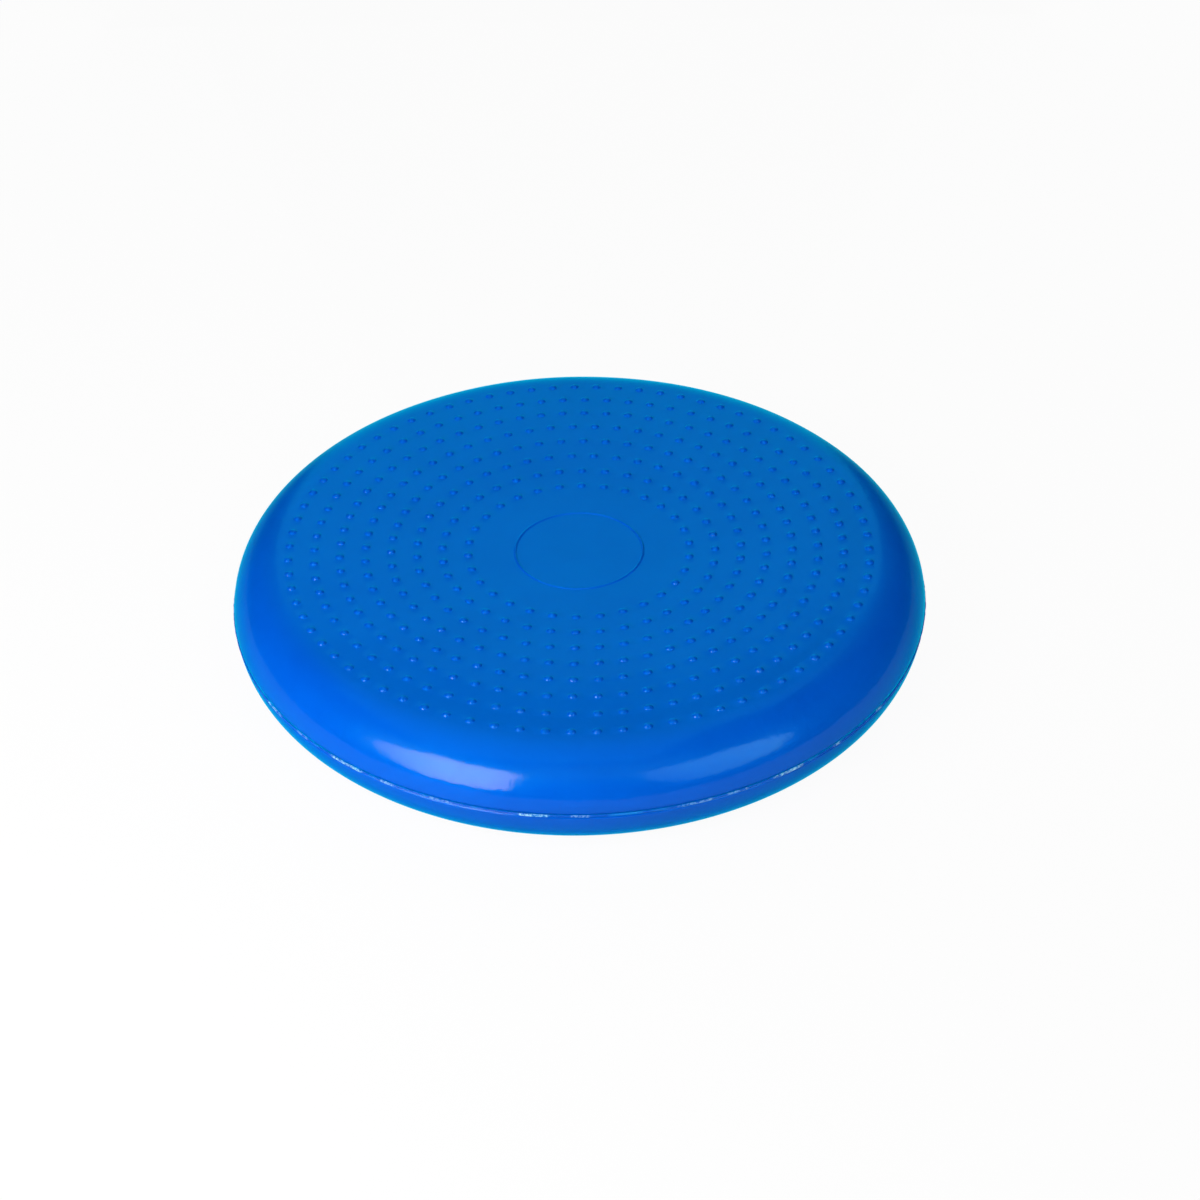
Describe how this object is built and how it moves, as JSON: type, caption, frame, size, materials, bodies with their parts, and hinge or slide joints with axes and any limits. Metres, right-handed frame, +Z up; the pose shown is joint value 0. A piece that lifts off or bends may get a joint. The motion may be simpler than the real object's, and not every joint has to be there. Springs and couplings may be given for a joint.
{
  "type": "inflatable balance disc",
  "caption": "Round air-filled balance disc: dished upper skin with rings of small round nubs, plain lower skin, welded rim seam and a needle valve in the middle of the underside.",
  "frame": {"origin": "centre of the flat ring under the disc, on the surface that it stands on", "axes": "+Z up, out of the nubbed face, along the disc's axis of revolution; -Y towards the side where a nub of every ring lines up"},
  "size_m": [0.33, 0.33, 0.0503],
  "materials": {
    "skin": "soft blown vinyl, semi-gloss, faintly mottled",
    "weld": "thin weld bead of the same vinyl, trimmed by hand, slightly translucent",
    "valve_rubber": "matt moulded rubber"
  },
  "bodies": {
    "base": {"lower_shell": "skin", "valve_core": "valve_rubber"},
    "rim": {"seam_ring": "weld"},
    "top": {"upper_shell": "skin"}
  },
  "joints": [
    {"name": "tilt_fore_aft", "type": "hinge", "parent": "base", "child": "rim", "pos_m": [0, 0, 0.0252], "axis": [1, 0, 0], "range_deg": [-6, 6], "stiffness_Nm_per_rad": 200, "deforming": ["lower_shell"]},
    {"name": "tilt_sideways", "type": "hinge", "parent": "rim", "child": "top", "pos_m": [0, 0, 0.0252], "axis": [0, 1, 0], "range_deg": [-6, 6], "stiffness_Nm_per_rad": 200, "deforming": ["upper_shell"]}
  ]
}
